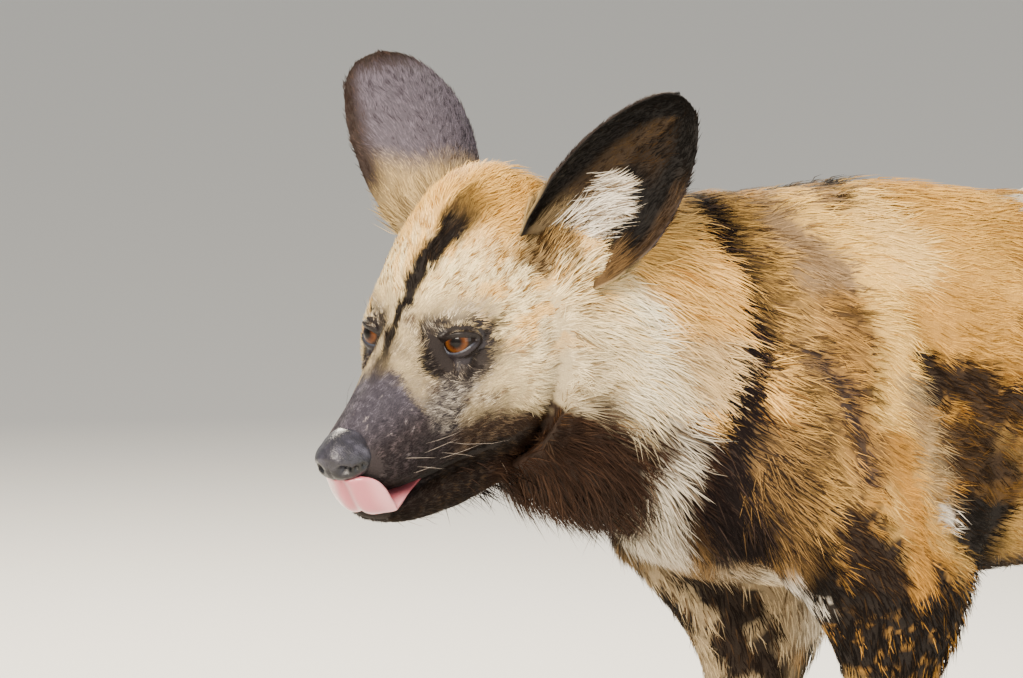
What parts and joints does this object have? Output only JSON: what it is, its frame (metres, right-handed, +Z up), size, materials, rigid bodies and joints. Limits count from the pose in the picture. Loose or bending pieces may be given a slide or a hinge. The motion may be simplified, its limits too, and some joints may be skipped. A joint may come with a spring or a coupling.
{
  "type": "african wild dog",
  "caption": "Standing African wild dog with round ears, a shaggy throat, a blotched coat and a bushy tail, its head turned and its tongue over its nose.",
  "frame": {"origin": "on the floor, at the middle of the dog's bounding box", "axes": "the dog faces -X, its left side is at -Y and +Z is up; z = 0 is the floor under its paws"},
  "size_m": [1.0832, 0.239, 0.7706],
  "materials": {
    "head": "matte fur",
    "jaw": "matte fur",
    "nose": "satin, moist",
    "tongue": "wet",
    "eye_left": "glossy, wet",
    "eye_right": "glossy, wet",
    "ear_left": "matte fur",
    "ear_right": "matte fur",
    "neck": "matte fur",
    "torso": "matte fur",
    "tail": "matte fur",
    "foreleg_left": "matte fur",
    "foreleg_right": "matte fur",
    "forepaw_left": "matte fur",
    "forepaw_right": "matte fur",
    "hindleg_left": "matte fur",
    "hindleg_right": "matte fur",
    "hindpaw_left": "matte fur",
    "hindpaw_right": "matte fur",
    "foreclaw_left_1": "satin horn",
    "foreclaw_left_2": "satin horn",
    "foreclaw_left_3": "satin horn",
    "foreclaw_left_4": "satin horn",
    "foreclaw_right_1": "satin horn",
    "foreclaw_right_2": "satin horn",
    "foreclaw_right_3": "satin horn",
    "foreclaw_right_4": "satin horn",
    "hindclaw_left_1": "satin horn",
    "hindclaw_left_2": "satin horn",
    "hindclaw_left_3": "satin horn",
    "hindclaw_left_4": "satin horn",
    "hindclaw_right_1": "satin horn",
    "hindclaw_right_2": "satin horn",
    "hindclaw_right_3": "satin horn",
    "hindclaw_right_4": "satin horn"
  },
  "bodies": {
    "root": {"head": "head", "jaw": "jaw", "nose": "nose", "tongue": "tongue", "eye_left": "eye_left", "eye_right": "eye_right", "ear_left": "ear_left", "ear_right": "ear_right", "neck": "neck", "torso": "torso", "tail": "tail", "foreleg_left": "foreleg_left", "foreleg_right": "foreleg_right", "forepaw_left": "forepaw_left", "forepaw_right": "forepaw_right", "hindleg_left": "hindleg_left", "hindleg_right": "hindleg_right", "hindpaw_left": "hindpaw_left", "hindpaw_right": "hindpaw_right", "foreclaw_left_1": "foreclaw_left_1", "foreclaw_left_2": "foreclaw_left_2", "foreclaw_left_3": "foreclaw_left_3", "foreclaw_left_4": "foreclaw_left_4", "foreclaw_right_1": "foreclaw_right_1", "foreclaw_right_2": "foreclaw_right_2", "foreclaw_right_3": "foreclaw_right_3", "foreclaw_right_4": "foreclaw_right_4", "hindclaw_left_1": "hindclaw_left_1", "hindclaw_left_2": "hindclaw_left_2", "hindclaw_left_3": "hindclaw_left_3", "hindclaw_left_4": "hindclaw_left_4", "hindclaw_right_1": "hindclaw_right_1", "hindclaw_right_2": "hindclaw_right_2", "hindclaw_right_3": "hindclaw_right_3", "hindclaw_right_4": "hindclaw_right_4"}
  },
  "joints": []
}
